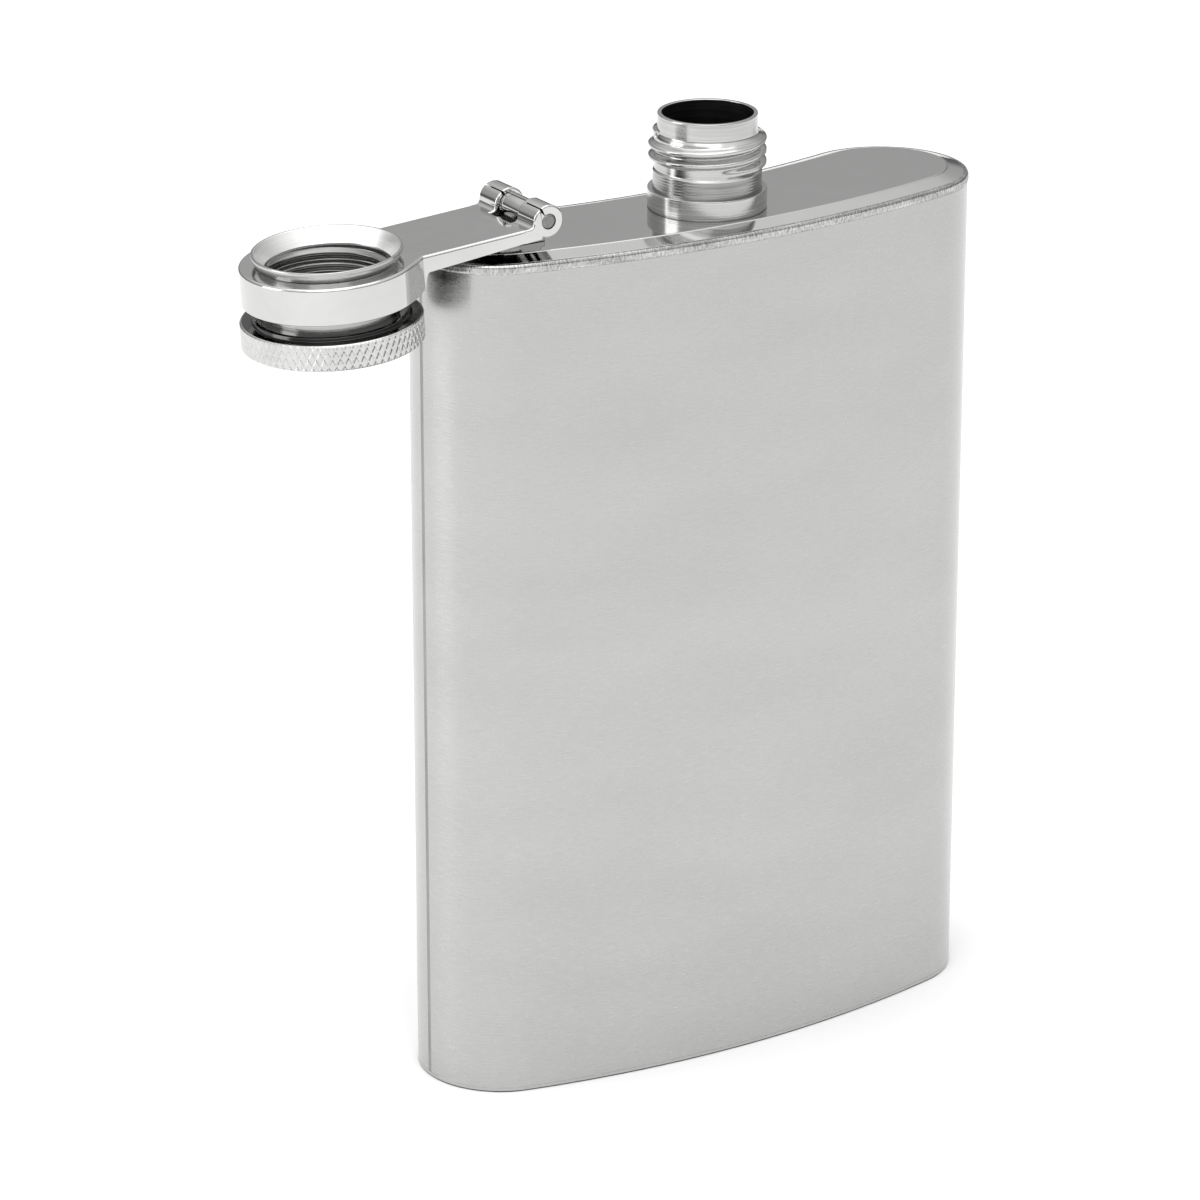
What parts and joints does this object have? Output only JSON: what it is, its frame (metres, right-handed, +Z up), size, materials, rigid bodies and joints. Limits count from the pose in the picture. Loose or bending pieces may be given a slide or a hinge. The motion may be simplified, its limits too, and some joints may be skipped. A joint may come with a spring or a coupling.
{
  "type": "hip flask",
  "caption": "Curved stainless hip flask with a threaded neck and a knurled captive screw cap that swings on a hinged arm.",
  "frame": {"origin": "middle of the base plate's underside, on the ground plane, at mid-thickness", "axes": "+Z up through the neck, -Y out of the convex front, +X to the side away from the open arm"},
  "size_m": [0.1214, 0.0292, 0.1421],
  "materials": {
    "brushed_body": "satin brushed",
    "ground_weld": "ground flush and brushed",
    "polished_plate": "mirror polished",
    "weld_bead": "rippled weld, lightly buffed",
    "turned_steel": "fine turned",
    "polished_steel": "polished",
    "pin_steel": "sheared and tumbled",
    "knurled_steel": "diamond knurled",
    "silicone": "matte"
  },
  "bodies": {
    "flask": {"front_shell": "brushed_body", "back_shell": "brushed_body", "left_side_weld": "ground_weld", "right_side_weld": "ground_weld", "top_plate": "polished_plate", "top_weld_bead": "weld_bead", "bottom_plate": "brushed_body", "bottom_weld_bead": "weld_bead", "neck_tube": "turned_steel", "neck_collar": "polished_steel", "hinge_bracket": "polished_steel", "hinge_pin": "pin_steel"},
    "arm": {"cap_arm": "polished_steel"},
    "seal": {"cap_gasket": "silicone"},
    "cap": {"cap_head": "knurled_steel", "cap_sleeve": "turned_steel"}
  },
  "joints": [
    {"name": "arm_hinge", "type": "hinge", "parent": "flask", "child": "arm", "pos_m": [-0.0315, 0.0005, 0.1326], "axis": [0, 1, 0], "range_deg": [0, 183.5]},
    {"name": "cap_travel", "type": "slide", "parent": "arm", "child": "seal", "axis": [-0.061, 0, 0.9981], "range_m": [0, 0.0015]},
    {"name": "cap_turn", "type": "hinge", "parent": "seal", "child": "cap", "pos_m": [-0.06294, 0.0005, 0.13068], "axis": [-0.061, 0, 0.9981], "range_deg": [0, 317.65]}
  ],
  "couplings": [
    {"joint": "cap_travel", "follows": "cap_turn", "m_per_rad": 0.00027056}
  ]
}
